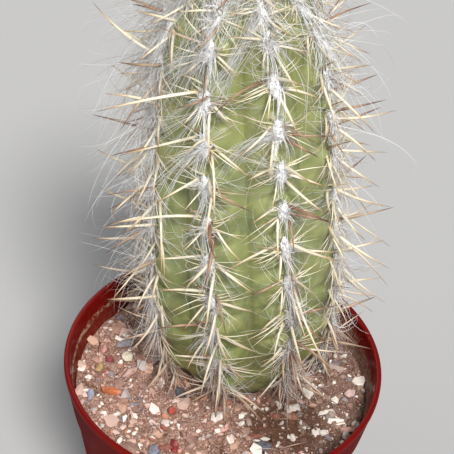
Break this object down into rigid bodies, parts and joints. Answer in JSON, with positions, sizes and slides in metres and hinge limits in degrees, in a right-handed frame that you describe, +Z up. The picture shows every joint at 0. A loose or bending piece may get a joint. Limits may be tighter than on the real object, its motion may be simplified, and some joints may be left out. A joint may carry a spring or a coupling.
{
  "type": "potted oreocereus",
  "caption": "Ribbed column cactus with woolly areoles and long spines, growing in a round tapered plastic pot of gritty stone-strewn soil.",
  "frame": {"origin": "middle of the pot's flat underside, on the surface that it stands on", "axes": "+Z up through the pot, -Y to the front, +X to the right seen from the front"},
  "size_m": [0.15, 0.1674, 0.35],
  "materials": {
    "pot_plastic": "gloss",
    "potting_mix": "matte",
    "cactus_skin": "satin",
    "stone_orange": "matte",
    "stone_red": "matte",
    "stone_pink": "matte",
    "stone_pale": "matte",
    "stone_grey": "matte",
    "stone_dark": "matte"
  },
  "bodies": {
    "root": {"pot": "pot_plastic", "soil": "potting_mix", "stem": "cactus_skin", "chip_orange": "stone_orange", "chip_red": "stone_red", "chip_blue_grey": "stone_grey", "chip_pink": "stone_pink", "chip_dark_red": "stone_red", "chip_cream": "stone_pale", "chip_tan": "stone_orange", "chip_long_pink": "stone_pink", "chip_grey_slab": "stone_grey", "chip_charcoal": "stone_dark", "chip_brick": "stone_orange", "chip_white": "stone_pale", "chip_grey_blue": "stone_grey", "chip_dark_grey": "stone_dark", "chip_bead": "stone_pale", "chip_pale_pink": "stone_pink", "chip_right_white": "stone_pale", "chip_back_tan": "stone_orange", "chip_back_cream": "stone_pale"}
  },
  "joints": []
}
